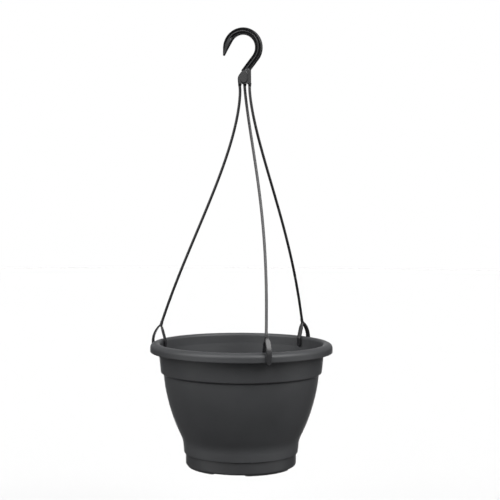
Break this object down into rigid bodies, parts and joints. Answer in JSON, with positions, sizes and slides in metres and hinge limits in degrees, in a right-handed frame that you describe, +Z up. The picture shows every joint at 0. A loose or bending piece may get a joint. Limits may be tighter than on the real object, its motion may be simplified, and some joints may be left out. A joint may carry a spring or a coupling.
{
  "type": "hanging basket",
  "caption": "Round moulded plant pot with a rolled rim and collar band, a pegged drip saucer, and a hooked hanger whose strands clip over the rim.",
  "frame": {"origin": "seat of the hook, where a rail or bracket bears", "axes": "+Z up through the pot's axis, the hook in the XZ plane with its mouth towards -X"},
  "size_m": [0.3047, 0.3, 0.718],
  "materials": {
    "pot_plastic": "anthracite moulded polypropylene, satin, with a fine moulded grain",
    "saucer_plastic": "anthracite moulded polypropylene, satin",
    "hanger_plastic": "black moulded polypropylene, semi-gloss"
  },
  "bodies": {
    "hook": {"hook": "hanger_plastic"},
    "strands": {"strand_left": "hanger_plastic", "strand_front": "hanger_plastic", "strand_back": "hanger_plastic"},
    "pot": {"pot": "pot_plastic", "clip_left": "hanger_plastic", "clip_front": "hanger_plastic", "clip_back": "hanger_plastic"},
    "jaw_left": {"jaw_left": "hanger_plastic"},
    "jaw_front": {"jaw_front": "hanger_plastic"},
    "jaw_back": {"jaw_back": "hanger_plastic"},
    "saucer": {"saucer": "saucer_plastic"}
  },
  "joints": [
    {"name": "basket_swing", "type": "hinge", "parent": "hook", "child": "strands", "pos_m": [0.0036, 0, -0.085], "axis": [1, 0, 0], "range_deg": [-25, 25], "deforming": ["strand_left", "strand_front", "strand_back"]},
    {"name": "basket_turn", "type": "hinge", "parent": "strands", "child": "pot", "pos_m": [0, 0, -0.474], "axis": [0, 0, 1], "range_deg": [-60, 60], "stiffness_Nm_per_rad": 0.12, "deforming": ["strand_left", "strand_front", "strand_back"]},
    {"name": "jaw_left_open", "type": "hinge", "parent": "pot", "child": "jaw_left", "pos_m": [-0.14, 0, -0.479], "axis": [0, 1, 0], "range_deg": [0, 20], "stiffness_Nm_per_rad": 0.5},
    {"name": "jaw_front_open", "type": "hinge", "parent": "pot", "child": "jaw_front", "pos_m": [0.07148, -0.12038, -0.479], "axis": [-0.8599, -0.5105, 0], "range_deg": [0, 20], "stiffness_Nm_per_rad": 0.5},
    {"name": "jaw_back_open", "type": "hinge", "parent": "pot", "child": "jaw_back", "pos_m": [0.07829, 0.11607, -0.479], "axis": [0.829, -0.5592, 0], "range_deg": [0, 20], "stiffness_Nm_per_rad": 0.5},
    {"name": "saucer_release", "type": "slide", "parent": "pot", "child": "saucer", "axis": [0, 0, -1], "range_m": [0, 0.04]}
  ]
}
